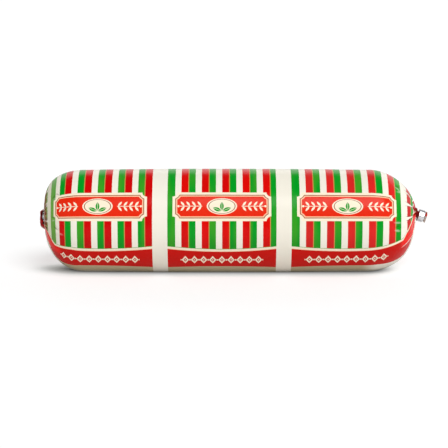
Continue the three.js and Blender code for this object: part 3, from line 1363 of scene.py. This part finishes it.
@dataclass(frozen=True)
class PanelPrint:
    """The film's repeating panel, in millimetres: stripes, a plaque across them, a band below.

    Places along the print run from the log's middle, and those across a panel from its left edge.
    Places round the log run from its top down either side, so front and back are alike.
    """

    inks: Inks = field(default_factory=Inks)
    pitch: float = 110.85
    width: float = 97.26
    first_left: float = -59.53
    stripe_period: float = 18.24
    red_width: float = 6.2
    hairline_width: float = 0.7
    green_width: float = 5.8
    first_green: float = 7.0
    first_red: float = 12.4
    mirrored_period: float = 18.1
    mirrored_below: float = -66.3
    red_first_above: float = 155.4
    green_first_below: float = -183.9
    swapped: tuple[float, float] = (12.0, 24.9)
    # deeper red on the left panel and at the right end, a trace paler on the right panel, painted
    # shade near the top and low down, and a painted sheen towards the left neck
    left_depth: float = 0.5
    top_painted_shade: Fade = Fade(26.0, 8.0, 0.35)
    right_deeper: Fade = Fade(150.0, 156.0, 0.75)
    right_pale: float = 0.02
    low_painted_shade: Fade = Fade(77.0, 86.0, 0.1)
    left_painted_sheen: Fade = Fade(-156.0, -168.0, 0.26)
    painted_sheen_end: float = -205.0
    patch_length: float = 13.0
    patch_height: float = 90.0
    patch_thin: Fade = Fade(0.44, 0.68, 0.45)
    plaque_middle: float = 51.4
    plaque_half_height: float = 13.5
    plaque_half_length: float = 44.0
    plaque_scoop: float = 4.2
    plaque_reach: tuple[float, float] = (-176.0, 155.0)
    margin: float = 2.4
    keyline: float = 3.2
    rim: float = 4.2
    medallion: tuple[float, float] = (13.5, 7.6)
    medallion_line: tuple[float, float] = (0.84, 0.9)
    sprig_foot: float = 4.6
    sprig_turns: tuple[float, float, float] = (0.0, 68.0, -68.0)
    leaf: tuple[float, float] = (4.0, 1.7)
    leaf_stalk: float = 0.6
    vein: float = 0.16
    vein_edge: float = 0.3
    garland: tuple[float, float] = (17.5, 37.5)
    garland_step: float = 5.0
    garland_leaf: tuple[float, float] = (2.7, 0.95)
    garland_leaf_off: float = 2.3
    garland_leaf_turn: float = 52.0
    stem: float = 0.3
    bud: float = 1.0
    bud_gap: float = 1.2
    band_top: float = 94.2
    band_bottom: float = 113.8
    top_flare: float = 3.0
    bottom_flare: float = 2.2
    band_line: float = 2.7
    line_edge: float = 0.4
    line_rim: float = 0.5
    # places past which the band's top and bottom edge slope more towards an end, and how much
    top_bends: tuple[tuple[float, float], ...] = (
        (-146.0, 0.17),
        (-166.0, -0.9),
        (-176.0, 0.15),
        (153.5, -0.85),
        (164.0, -0.6),
    )
    bottom_bends: tuple[tuple[float, float], ...] = (
        (-138.0, 0.28),
        (-155.0, -0.28),
        (-162.0, -0.35),
        (-170.0, -0.25),
        (-176.0, -0.6),
        (128.0, 0.2),
        (157.0, -0.9),
        (170.0, -0.5),
    )
    band_run_on: tuple[float, float] = (-168.0, 147.0)
    # where the painted highlight on the band sets in at either end
    band_highlight_ends: tuple[Fade, Fade] = (Fade(-154.0, -162.0), Fade(146.0, 154.0))
    # below-band tint, part print and part painted shade, but for the log's ends and the lowest part
    clear_ends: tuple[Fade, Fade] = (Fade(-156.0, -172.0), Fade(112.0, 128.0))
    clear_low: Fade = Fade(8.0, 18.0)
    # first and last place of the long fold in the band, and its place down
    long_fold: tuple[float, float, float] = (150.0, 182.0, 100.3)
    long_fold_width: float = 0.75
    long_fold_tapers: tuple[float, float] = (9.0, 3.0)
    # how far below the fold the painted highlight on the band lasts at the left and the right end
    band_highlight_below_fold: tuple[float, float] = (8.0, 1.0)
    lozenge: tuple[float, float] = (3.3, 5.0)
    lozenge_step: float = 8.2
    lozenge_row: float = 37.0
    lozenge_eyes: tuple[float, float] = (0.5, 0.22)
    lozenge_dot: float = 0.9

    def group(self) -> bpy.types.NodeTree:
        """Makes the print's drawing.

        Returns:
            A shader node group that gives the print's colour at a place on the film.
        """
        places = {"Along": "Float", "Around": "Float"}
        tree, given, result = shader_group("panel_print", places, {"Colour": "Color"})
        along, down = Wire(tree, given["Along"]), abs(Wire(tree, given["Around"]))
        across = (along - self.first_left).wrapped(self.pitch)
        drawing = Drawing(tree, self.inks.film)
        self.draw_stripes(drawing, along, across, down)
        self.draw_band(drawing, along, across, down)
        self.draw_lozenges(drawing, across - self.width / 2, down)
        self.draw_plaque(drawing, along, across - self.width / 2, down - self.plaque_middle)
        tree.links.new(drawing.colour, result["Colour"])
        return tree

    def band_edges(self, along: Wire, across: Wire) -> tuple[Wire, Wire]:
        """The band's bowed edges, which sag and then rise to the necks near the ends.

        Args:
            along: place along the print.
            across: place across the panel.

        Returns:
            How far down the band's top and bottom are.
        """
        bow = (across.smaller(self.width) - self.width / 2) / (self.width / 2)
        top = self.band_top - bow * bow * self.top_flare
        bottom = bow * bow * self.bottom_flare + self.band_bottom
        for start, slope in self.top_bends:
            top = top + self.past(along, start) * slope
        for start, slope in self.bottom_bends:
            bottom = bottom + self.past(along, start) * slope
        return top, bottom

    def past(self, along: Wire, start: float) -> Wire:
        """How far a place is past another one, away from the log's middle."""
        return (along - start if start > 0 else start - along).larger(0.0)

    def stripe_place(self, along: Wire, across: Wire, down: Wire) -> Wire:
        """Where in the repeat of stripes a point is: red up to red_width, hairline, then green.

        Args:
            along: place along the print.
            across: place across the panel.
            down: place down from the log's top.

        Returns:
            The place in the repeat. A panel starts with green at its left edge, but past the right
            end with red. Left of mirrored_below the order is mirrored, but for one pair of stripes
            below the plaque, and past the left end it goes on with green.
        """
        green_from = self.red_width + self.hairline_width
        mirrored = along.below(self.mirrored_below)
        red_first = along.above(self.red_first_above)
        green_first = along.below(self.green_first_below)
        plain = (across - self.first_red).wrapped(self.stripe_period)
        back = self.width - across
        place = mirrored.choose(plain, back.wrapped(self.mirrored_period))
        low, high = self.swapped
        swap = mirrored * across.above(low) * across.below(high) * down.above(self.plaque_middle)
        place = swap.choose(place, across - low)
        place = red_first.choose(place, across.wrapped(self.stripe_period))
        place = green_first.choose(place, (back + green_from).wrapped(self.mirrored_period))
        opening = across.below(self.first_green) * (1.0 - red_first)
        return opening.choose(place, green_from + self.green_width / 2)

    def draw_stripes(self, drawing: Drawing, along: Wire, across: Wire, down: Wire) -> None:
        """Draws the red, white and green stripes that run round the log.

        Args:
            drawing: what is drawn on.
            along: place along the print.
            across: place across the panel.
            down: place down from the log's top.
        """
        place = self.stripe_place(along, across, down)
        green_from = self.red_width + self.hairline_width
        top, _ = self.band_edges(along, across)
        panel = across.below(self.width) * down.below(top - self.band_line - self.line_edge)
        in_red = panel * place.below(self.red_width)
        in_green = panel * place.above(green_from) * place.below(green_from + self.green_width)
        patch = noise_at(along / self.patch_length, down / self.patch_height, detail=1.0)
        thin = self.patch_thin.of(patch)
        # deeper red on the left panel and at the right end, and painted shade near the top
        left_deeper = along.below(self.mirrored_below) * self.left_depth
        deeper = left_deeper.larger(self.top_painted_shade.of(down)).larger(self.right_deeper.of(along))
        pale = along.above(self.first_left + self.pitch) * self.right_pale
        drawing.paint(panel * place.below(green_from), self.inks.hairline)
        drawing.paint(in_red, self.inks.red)
        drawing.paint(in_red * thin, self.inks.deep_red)
        drawing.paint(in_red * deeper, self.inks.deep_red)
        drawing.paint(in_red * pale, self.inks.film)
        drawing.paint(in_green, self.inks.green)
        drawing.paint(in_green * thin, self.inks.thin_green)
        # painted shade low down on the stripes
        drawing.paint(in_red.larger(in_green) * self.low_painted_shade.of(down), self.inks.painted_shade)
        # painted sheen towards the left neck
        drawing.paint(self.left_painted_sheen.of(along) * along.above(self.painted_sheen_end), self.inks.painted_sheen)

    def draw_band(self, drawing: Drawing, along: Wire, across: Wire, down: Wire) -> None:
        """Draws the bow-edged red band below the stripes, with the line along its top edge.

        Args:
            drawing: what is drawn on.
            along: place along the print.
            across: place across the panel.
            down: place down from the log's top.
        """
        left, right = self.band_run_on
        top, bottom = self.band_edges(along, across)
        run_on = along.below(left).larger(along.above(right))
        panel = across.below(self.width).larger(run_on)
        line = panel * down.above(top - self.band_line - self.line_edge) * down.below(top)
        drawing.paint(line, self.inks.green)
        drawing.paint(line * down.above(top - self.band_line), self.inks.motif)
        drawing.paint(line * down.above(top - self.line_rim), self.inks.rim)
        in_band = panel * down.above(top) * down.below(bottom)
        drawing.paint(in_band, self.inks.band)
        # tan tint below the band, partly print and partly painted shade
        left_end, right_end = (fade.of(along) for fade in self.clear_ends)
        tint_and_shade = 1.0 - left_end.larger(right_end).larger(self.clear_low.of(down - bottom))
        drawing.paint(panel * down.above(bottom) * tint_and_shade, self.inks.under_band_tint_and_shade)
        # painted highlight on the band near both ends, fading out below the long fold
        first, last, fold = self.long_fold
        left_below, right_below = self.band_highlight_below_fold
        dim = (down - fold) / (along.below(0.0) * (left_below - right_below) + right_below)
        left_end, right_end = (fade.of(along) for fade in self.band_highlight_ends)
        bright = left_end.larger(right_end) * (1.0 - dim.eased())
        drawing.paint(in_band * bright, self.inks.band_painted_highlight)
        left_taper, right_taper = self.long_fold_tapers
        share = ((along - first) / left_taper).smaller((last - along) / right_taper)
        crease = share.larger(0.0).smaller(1.0) * self.long_fold_width - abs(down - fold)
        drawing.paint(crease.above(0.0) * along.above(first), self.inks.film)

    def draw_lozenges(self, drawing: Drawing, x: Wire, down: Wire) -> None:
        """Draws the row of lozenges in the band, with dots between them.

        Args:
            drawing: what is drawn on.
            x: place across, from the panel's middle.
            down: place down from the log's top.
        """
        y = abs(down - (self.band_top + self.band_bottom) / 2)
        row = abs(x).below(self.lozenge_row)
        half_step = self.lozenge_step / 2
        cell = abs((x + half_step).wrapped(self.lozenge_step) - half_step)
        half_width, half_height = self.lozenge
        size = cell / half_width + y / half_height
        outer_eye, inner_eye = self.lozenge_eyes
        drawing.paint(row * size.below(1.0), self.inks.motif)
        drawing.paint(row * size.below(outer_eye), self.inks.band)
        drawing.paint(row * size.below(inner_eye), self.inks.motif)
        dot = reach(half_step - cell, y).below(self.lozenge_dot)
        drawing.paint(row * dot, self.inks.motif)

    def draw_plaque(self, drawing: Drawing, along: Wire, x: Wire, y: Wire) -> None:
        """Draws the red plaque across the stripes, with its lines, medallion and garlands.

        Args:
            drawing: what is drawn on.
            along: place along the print.
            x: place across, from the plaque's middle.
            y: place down, from the plaque's middle.
        """
        first, last = self.plaque_reach
        kept = along.above(first) * along.below(last)
        to_end = self.plaque_half_length - abs(x)
        to_side = self.plaque_half_height - abs(y)
        scoop = reach(to_end, to_side) - self.plaque_scoop
        inside = to_end.smaller(to_side).smaller(scoop)
        drawing.paint(kept * inside.above(0.0), self.inks.motif)
        drawing.paint(kept * inside.above(self.margin), self.inks.keyline)
        drawing.paint(kept * inside.above(self.keyline), self.inks.rim)
        drawing.paint(kept * inside.above(self.rim), self.inks.plaque)
        self.draw_medallion(drawing, kept, x, y)
        self.draw_garland(drawing, kept, x, y)

    def draw_medallion(self, drawing: Drawing, kept: Wire, x: Wire, y: Wire) -> None:
        """Draws the oval in the plaque's middle, with a sprig of three leaves.

        Args:
            drawing: what is drawn on.
            kept: mask of the panels that have it.
            x: place across, from the plaque's middle.
            y: place down, from the plaque's middle.
        """
        half_width, half_height = self.medallion
        oval = reach(x / half_width, y / half_height)
        line_from, line_to = self.medallion_line
        drawing.paint(kept * oval.below(1.0), self.inks.motif)
        drawing.paint(kept * oval.below(line_to) * oval.above(line_from), self.inks.keyline)
        half_length, _ = self.leaf
        for degrees in self.sprig_turns:
            out, side = turned(x, self.sprig_foot - y, 90.0 - degrees)
            leaf = in_leaf(out - half_length - self.leaf_stalk, side, self.leaf)
            drawing.paint(kept * leaf.above(0.0), self.inks.green)
            vein = abs(side).below(self.vein) * leaf.above(self.vein_edge)
            drawing.paint(kept * vein, self.inks.motif)

    def draw_garland(self, drawing: Drawing, kept: Wire, x: Wire, y: Wire) -> None:
        """Draws a stem with pairs of leaves on either side of the medallion.

        Args:
            drawing: what is drawn on.
            kept: mask of the panels that have it.
            x: place across, from the plaque's middle.
            y: place down, from the plaque's middle.
        """
        first, last = self.garland
        out, side = abs(x), abs(y)
        row = kept * out.above(first) * out.below(last)
        drawing.paint(row * side.below(self.stem), self.inks.motif)
        cell = (out - first).wrapped(self.garland_step) - self.garland_step / 2
        placed = turned(cell, side - self.garland_leaf_off, self.garland_leaf_turn)
        drawing.paint(row * in_leaf(*placed, self.garland_leaf).above(0.0), self.inks.motif)
        bud = reach(out - last - self.bud_gap, side).below(self.bud)
        drawing.paint(kept * bud, self.inks.motif)


# ---- finishes --------------------------------------------------------------------------------


@dataclass(frozen=True)
class PaintedFoldShading:
    """Painted highlights and shade where the film is gathered, creased or folded, in millimetres.

    Folds get a painted highlight, a wedge in the film's colour, and painted shade beside it;
    creases get painted shade in their hollows and painted glints on their ridges; necks get dark
    red and brown painted shade and are rougher. A noise, drawn out along the log, keeps it uneven.
    """

    wobble_length: float = 9.0
    wobble_width: float = 2.6
    # painted fold highlights and shade lines, narrower and deeper the tighter the film is gathered
    wedge_width: float = 1.9
    wedge_narrowing: float = 1.5
    wedge_wobble: tuple[float, float] = (0.2, 1.6)
    wedge_edge: Fade = Fade(0.0, 0.25)
    wedge_tight: Fade = Fade(0.05, 0.175)
    wedge_above_band: float = 2.0
    shade_line_off: float = 0.3
    shade_line_edge: Fade = Fade(0.6, 0.0)
    shade_line_tight: Fade = Fade(0.06, 0.26, 0.6)
    # the creases' painted shade and painted glints, by how deep the film is pressed
    hollow: Fade = Fade(0.235, 0.824, 0.5)
    ridge: Fade = Fade(-0.125, -0.542, 0.36)
    # painted shade in the necks and, from a tightness of root_tight, their roots and tails
    root_tight: float = 0.99
    root_wobble: tuple[float, float] = (0.2, 1.4)
    neck_shade_streaks: Fade = Fade(0.58, 0.437)
    dark_neck_shade: Fade = Fade(0.44, 0.315, 0.6)
    brown_shade_depth: float = 0.65
    roughening: float = 0.65

    def group(self, design: PanelPrint) -> bpy.types.NodeTree:
        """Makes the shader node group that paints light and shade over the print.

        Args:
            design: the print.

        Returns:
            The group: the colour with painted light and shade, and how much rougher the film is.
        """
        labels = ("Fold distance", "Tightness", "Neck share", "Pressed")
        kinds = {"Colour": "Color", "Place": "Vector"} | dict.fromkeys(labels, "Float")
        results = {"Colour": "Color", "Roughening": "Float"}
        tree, given, result = shader_group("painted_fold_shading", kinds, results)
        fold, tight, near_neck, pressed = (Wire(tree, given[label]) for label in labels)
        along, around, _ = split(tree, given["Place"])
        wobble = noise_at(along / self.wobble_length, around / self.wobble_width, detail=2.0)
        down = abs(around)
        # the band's top edge as at a panel's side, where it is highest
        top, _ = design.band_edges(along, along * 0.0)
        inks = design.inks
        drawing = Drawing(tree, given["Colour"])

        # painted highlight: a wedge in the film's colour along each fold, and painted shade beside
        # it
        least, more = self.wedge_wobble
        width = (self.wedge_width - tight * self.wedge_narrowing) * (wobble * more + least)
        inside = width - fold
        wedge = self.wedge_edge.of(inside) * self.wedge_tight.of(tight)
        drawing.paint(wedge * down.below(top - self.wedge_above_band), inks.film)
        painted_shade = self.shade_line_edge.of(abs(inside + self.shade_line_off))
        drawing.paint(painted_shade * self.shade_line_tight.of(tight), inks.painted_shade)
        # painted shade in the creases' hollows and painted glints on their ridges
        drawing.paint(self.hollow.of(pressed), inks.painted_shade)
        drawing.paint(self.ridge.of(pressed), inks.glint)

        # painted shade in and round the necks: brown, then dark red and dark streaks by the noise
        least, more = self.root_wobble
        root = tight.above(self.root_tight)
        neck = near_neck * down.below(top).larger(root)
        neck_shade_streaks = self.neck_shade_streaks.of(wobble).larger(root * (wobble * more + least).smaller(1.0))
        drawing.paint(neck * (1.0 - root) * self.brown_shade_depth, inks.brown_painted_shade)
        drawing.paint(neck * neck_shade_streaks, inks.gathered)
        drawing.paint(neck * self.dark_neck_shade.of(wobble), inks.painted_shade)
        tree.links.new(drawing.colour, result["Colour"])
        tree.links.new((neck * self.roughening).socket, result["Roughening"])
        return tree


def handling_marks() -> bpy.types.NodeTree:
    """Makes the group for the smudges and fine scratches that handling leaves on a surface.

    Returns:
        A shader node group: from a place, two sizes and a strength it gives how much rougher the
        surface is there, and the height of its scratches.
    """
    sizes = ("Smudge size", "Scratch size", "Strength")
    kinds = {"Place": "Vector"} | dict.fromkeys(sizes, "Float")
    results = {"Roughening": "Float", "Height": "Float"}
    tree, given, result = shader_group("handling_marks", kinds, results)
    scratch_width = 0.06

    def noise(size: str, detail: float) -> Wire:
        """Makes noise at the group's place.

        Args:
            size: the name of the group's input that gives the noise's size.
            detail: how many finer noises are added.

        Returns:
            The noise, -1 to 1.
        """
        node = tree.nodes.new("ShaderNodeTexNoise")
        node.inputs["Detail"].default_value = detail
        tree.links.new(given["Place"], node.inputs["Vector"])
        scale = Wire(tree, given[size]).math("POWER", -1.0)
        tree.links.new(scale.socket, node.inputs["Scale"])
        return Wire(tree, node.outputs[0]) * 2.0 - 1.0

    strength = Wire(tree, given["Strength"])
    smudge = noise("Smudge size", detail=3.0) * strength
    fine = abs(noise("Scratch size", detail=5.0))
    scratch = (scratch_width - fine).larger(0.0) * strength * -1.0
    tree.links.new(smudge.socket, result["Roughening"])
    tree.links.new(scratch.socket, result["Height"])
    return tree


def new_material(name: str) -> tuple[bpy.types.Material, bpy.types.Node]:
    """Makes a material with nodes.

    Args:
        name: its name.

    Returns:
        The material and its Principled BSDF.
    """
    material = bpy.data.materials.new(name)
    material.use_nodes = True
    return material, material.node_tree.nodes["Principled BSDF"]


def add_group(tree: bpy.types.NodeTree, group: bpy.types.NodeTree) -> bpy.types.Node:
    """Puts a shader node group into a material's node tree.

    Args:
        tree: the material's node tree.
        group: the group.

    Returns:
        The node that stands for it.
    """
    node = tree.nodes.new("ShaderNodeGroup")
    node.node_tree = group
    return node


def bump(tree: bpy.types.NodeTree, height: Wire, distance: float) -> None:
    """Feeds a height through a Bump node into the normal of a tree's Principled BSDF.

    Args:
        tree: the material's node tree.
        height: the height, where 1 stands for the distance.
        distance: the height of 1, in metres.
    """
    node = tree.nodes.new("ShaderNodeBump")
    node.inputs["Distance"].default_value = distance
    node.inputs["Strength"].default_value = 1.0
    tree.links.new(height.socket, node.inputs["Height"])
    tree.links.new(node.outputs["Normal"], tree.nodes["Principled BSDF"].inputs["Normal"])


@dataclass(frozen=True)
class Wear:
    """Smudges and fine scratches, with their sizes in metres and their strength."""

    smudge_size: float
    scratch_size: float
    strength: float

    def add(self, tree: bpy.types.NodeTree, marks: bpy.types.NodeTree) -> tuple[Wire, Wire]:
        """Adds the marks to a material.

        Args:
            tree: the material's node tree.
            marks: the handling_marks group.

        Returns:
            How much rougher the surface is, and the height of its scratches.
        """
        worn = add_group(tree, marks)
        worn.inputs["Smudge size"].default_value = self.smudge_size
        worn.inputs["Scratch size"].default_value = self.scratch_size
        worn.inputs["Strength"].default_value = self.strength
        position = tree.nodes.new("ShaderNodeTexCoord").outputs["Object"]
        tree.links.new(position, worn.inputs["Place"])
        return Wire(tree, worn.outputs["Roughening"]), Wire(tree, worn.outputs["Height"])


@dataclass(frozen=True)
class FilmFinish:
    """Opaque plastic film with a soft gloss, printed from behind.

    Tension draws faint streaks in it round the log, with a length and a width in millimetres of
    the print and a height in metres.
    """

    # painted highlights and shade at folds, creases and necks
    gathered: PaintedFoldShading = PaintedFoldShading()
    wear: Wear = Wear(smudge_size=0.03, scratch_size=0.004, strength=0.07)
    roughness: float = 0.2
    specular: float = 0.1
    streak_length: float = 9.0
    streak_width: float = 1.4
    streak_height: float = 0.00006

    def build(self, design: PanelPrint, marks: bpy.types.NodeTree) -> bpy.types.Material:
        """Makes the material.

        Args:
            design: the print.
            marks: the handling_marks group.

        Returns:
            The printed film.
        """
        material, shader = new_material("printed_film")
        tree = material.node_tree
        nodes, links = tree.nodes, tree.links
        place = nodes.new("ShaderNodeUVMap")
        place.uv_map = "print"
        along, around, _ = split(tree, place.outputs["UV"])
        drawn = add_group(tree, design.group())
        links.new(along.socket, drawn.inputs["Along"])
        links.new(around.socket, drawn.inputs["Around"])
        # painted highlights and shade at folds, creases and necks, and the necks' roughening
        fold_shading = add_group(tree, self.gathered.group(design))
        links.new(drawn.outputs["Colour"], fold_shading.inputs["Colour"])
        links.new(place.outputs["UV"], fold_shading.inputs["Place"])
        for label in ("Fold distance", "Tightness", "Neck share", "Pressed"):
            stored = nodes.new("ShaderNodeAttribute")
            stored.attribute_name = label.lower().replace(" ", "_")
            links.new(stored.outputs["Fac"], fold_shading.inputs[label])
        links.new(fold_shading.outputs["Colour"], shader.inputs["Base Color"])
        shader.inputs["Specular IOR Level"].default_value = self.specular
        rougher, scratches = self.wear.add(tree, marks)
        roughness = rougher + self.roughness + Wire(tree, fold_shading.outputs["Roughening"])
        links.new(roughness.socket, shader.inputs["Roughness"])
        streaks = noise_at(along / self.streak_length, around / self.streak_width, detail=2.0)
        bump(tree, streaks + scratches, self.streak_height)
        return material


@dataclass(frozen=True)
class AluminiumFinish:
    """Plain drawn aluminium, rubbed by the clipping tool."""

    colour: Colour = ink(226, 228, 232)
    wear: Wear = Wear(smudge_size=0.003, scratch_size=0.0008, strength=0.12)
    roughness: float = 0.3
    scratch_height: float = 0.0004

    def build(self, marks: bpy.types.NodeTree) -> bpy.types.Material:
        """Makes the material.

        Args:
            marks: the handling_marks group.

        Returns:
            The aluminium.
        """
        material, shader = new_material("aluminium")
        tree = material.node_tree
        shader.inputs["Base Color"].default_value = self.colour
        shader.inputs["Metallic"].default_value = 1.0
        rougher, scratches = self.wear.add(tree, marks)
        tree.links.new((rougher + self.roughness).socket, shader.inputs["Roughness"])
        bump(tree, scratches, self.scratch_height)
        return material


# ---- floor, light and camera -----------------------------------------------------------------


@dataclass(frozen=True)
class FarSoftbox:
    """A round softbox so far off that it lights log and floor evenly, in degrees and W/m2."""

    name: str
    azimuth: float
    elevation: float
    spread: float
    strength: float


@dataclass
class Studio:
    """The pale floor, the soft light and the camera, in metres and degrees.

    Seen is what the camera gets of the floor's glow, and cast is what the log gets of it.
    """

    floor_half: float = 6.0
    floor_roughness: float = 0.9
    floor_tone: float = 0.527
    seen_glow: float = 0.53
    cast_glow: float = 0.46
    # the log's soft shadow, in which the floor glows less, and the painted shadow right under it
    shade_run: tuple[float, float] = (-0.138, 0.123)
    left_stretch: float = 2.0
    contact_run: float = 0.104
    contact_shadow_tone: float = 0.12
    contact_reach: float = 0.03
    shade_from: float = 0.005
    seen_shade: float = 0.022
    cast_shade: float = 0.08
    # brightness of the walls behind and in front, and of the ceiling
    back_wall: float = 1.6
    front_wall: float = 0.45
    ceiling: float = 0.12
    # shares of the walls' brightness: at their foot, on the left, and lit at the middle
    wall_foot: float = 0.5
    left_wall: float = 0.4
    lit_side: float = 0.75
    # height of the walls' top, from 0 at the horizon to 1 overhead, and of the fade above it
    wall_top: float = 0.56
    wall_fade: float = 0.14
    key: FarSoftbox = FarSoftbox(name="key", azimuth=28, elevation=54, spread=36, strength=2.15)
    # the camera, in front of the log
    elevation: float = 12.0
    distance: float = 2.0
    aim: tuple[float, float, float] = (-0.00903, 0.0, 0.0416)
    lens: float = 176.2  # millimetres
    sensor_width: float = 36.0  # millimetres

    def build(self) -> None:
        """Makes all of it."""
        self.build_floor()
        self.build_world()
        self.build_softbox(self.key)
        self.build_camera()

    def build_floor(self) -> None:
        """Makes the floor, which isn't part of the log."""
        half = self.floor_half
        corners = [(-half, -half, 0), (half, -half, 0), (half, half, 0), (-half, half, 0)]
        mesh = bpy.data.meshes.new("floor")
        mesh.from_pydata(corners, [], [(0, 1, 2, 3)])
        material, shader = new_material("floor")
        shader.inputs["Roughness"].default_value = self.floor_roughness
        shader.inputs["Emission Color"].default_value = (1, 1, 1, 1)
        tree = material.node_tree
        x, y, _ = split(tree, tree.nodes.new("ShaderNodeTexCoord").outputs["Object"])
        # painted shadow: the floor glows less round the log, stretched off its left end
        left, right = self.shade_run
        beyond = ((left - x) / self.left_stretch).larger(x - right).larger(0.0)
        off = reach(beyond, y) - self.shade_from
        # painted contact shadow: the floor's colour darkens right under the log
        past_contact = (abs(x) - self.contact_run).larger(0.0)
        open_floor = reach(past_contact, y).ramp(self.shade_from, self.contact_reach)
        tone = open_floor * (self.floor_tone - self.contact_shadow_tone) + self.contact_shadow_tone
        tree.links.new(tone.socket, shader.inputs["Base Color"])
        seen = (off / self.seen_shade).eased() * self.seen_glow
        cast = (off / self.cast_shade).eased() * self.cast_glow
        camera = Wire(tree, tree.nodes.new("ShaderNodeLightPath").outputs["Is Camera Ray"])
        tree.links.new(camera.choose(cast, seen).socket, shader.inputs["Emission Strength"])
        mesh.materials.append(material)
        new_piece("floor", mesh)

    def build_world(self) -> None:
        """Makes the surroundings, bright walls all round and a dim ceiling."""
        world = bpy.data.worlds.new("studio")
        world.use_nodes = True
        bpy.context.scene.world = world
        tree = world.node_tree
        x, y, height = split(tree, tree.nodes.new("ShaderNodeTexCoord").outputs["Generated"])
        above = height.ramp(self.wall_top, self.wall_fade)
        behind = (y * 0.5 + 0.5).eased()
        rising = (height / self.wall_top).eased() * (1.0 - self.wall_foot) + self.wall_foot
        walls = (behind * (self.back_wall - self.front_wall) + self.front_wall) * rising
        lit_side = (x * 0.5 + self.lit_side).eased()
        walls = walls * (lit_side * (1.0 - self.left_wall) + self.left_wall)
        strength = above.choose(walls, self.ceiling)
        background = tree.nodes["Background"]
        background.inputs["Color"].default_value = (1, 1, 1, 1)
        tree.links.new(strength.socket, background.inputs["Strength"])

    def direction(self, azimuth: float, elevation: float) -> Vector:
        """The direction from the log to a place.

        Args:
            azimuth: 0 in front of the log and 90 on its right, in degrees.
            elevation: height over the floor, in degrees.

        Returns:
            The direction, of length 1.
        """
        turn, rise = math.radians(azimuth), math.radians(elevation)
        flat = Vector((math.sin(turn), -math.cos(turn), 0)) * math.cos(rise)
        return flat + Vector((0, 0, math.sin(rise)))

    def build_softbox(self, softbox: FarSoftbox) -> None:
        """Makes one softbox.

        Args:
            softbox: its name, place, spread and strength.
        """
        light = bpy.data.lights.new(softbox.name, "SUN")
        light.angle = math.radians(softbox.spread)
        light.energy = softbox.strength
        towards = self.direction(softbox.azimuth, softbox.elevation)
        self.aim_at(bpy.data.objects.new(softbox.name, light), towards, self.distance)

    def aim_at(self, thing: bpy.types.Object, towards: Vector, distance: float) -> None:
        """Places a light or camera and turns it to the aim point.

        Args:
            thing: the light or camera.
            towards: direction from the aim point to it.
            distance: how far off it is.
        """
        bpy.context.scene.collection.objects.link(thing)
        thing.location = Vector(self.aim) + towards * distance
        thing.rotation_euler = (-towards).to_track_quat("-Z", "Y").to_euler()

    def build_camera(self) -> None:
        """Makes the camera, in front of the log and a little above it."""
        camera = bpy.data.cameras.new("camera")
        camera.lens = self.lens
        camera.sensor_width = self.sensor_width
        thing = bpy.data.objects.new("camera", camera)
        self.aim_at(thing, self.direction(0.0, self.elevation), self.distance)
        bpy.context.scene.camera = thing


def main() -> None:
    """Builds the pieces in order."""
    logging.basicConfig(level=logging.INFO, format="%(name)s: %(message)s")
    bpy.context.scene.view_settings.view_transform = "Standard"
    Studio().build()
    marks = handling_marks()
    log = FilmLog()
    log.build(FilmFinish().build(PanelPrint(), marks), film_relief())
    aluminium = AluminiumFinish().build(marks)
    sweep = clip_sweep()
    for end in (LEFT, RIGHT):
        ClipBar(end, log.axis_height, log.neck_radius).build(aluminium, sweep)


if __name__ == "__main__":
    main()
